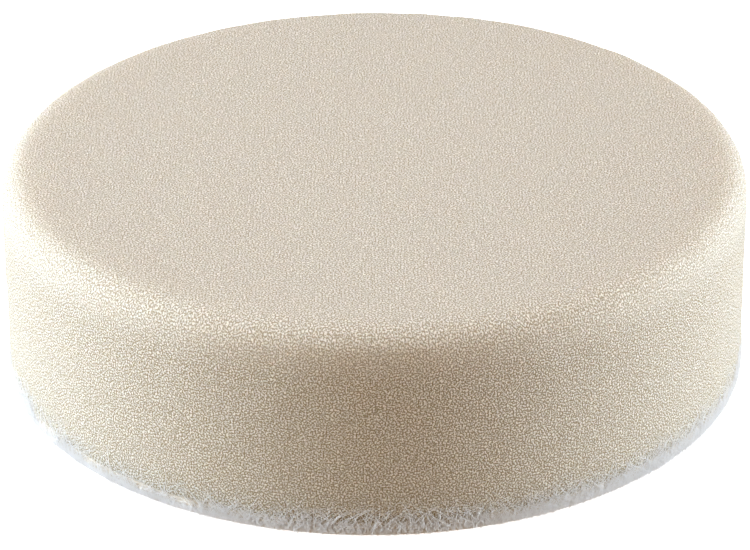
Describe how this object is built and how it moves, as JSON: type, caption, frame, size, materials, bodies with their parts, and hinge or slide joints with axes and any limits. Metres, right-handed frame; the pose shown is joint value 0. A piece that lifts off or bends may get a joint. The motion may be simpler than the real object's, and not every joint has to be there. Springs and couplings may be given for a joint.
{
  "type": "polishing pad",
  "caption": "Round flat foam polishing pad with a rounded working edge, straight sides and a loop backing.",
  "frame": {"origin": "centre of the loop face, on the pad's axis, where the loops rest", "axes": "+Z along the pad's axis, from the loop face up to the working face; the pad is round, so X and Y are free"},
  "size_m": [0.15, 0.15, 0.044],
  "materials": {
    "open_cell_polyurethane_foam": "ivory fine-celled open-cell polyurethane foam, matt, with a ground working face and cut sides",
    "hot_melt_adhesive": "milky hot-melt laminating adhesive, satin",
    "polyamide_ground_knit": "white warp-knitted polyamide cloth, matt",
    "brushed_polyamide_loops": "white brushed polyamide loops, soft and slightly lustrous"
  },
  "bodies": {
    "root": {"foam_disc": "open_cell_polyurethane_foam", "adhesive_film": "hot_melt_adhesive", "loop_ground_cloth": "polyamide_ground_knit", "loop_pile": "brushed_polyamide_loops"}
  },
  "joints": []
}
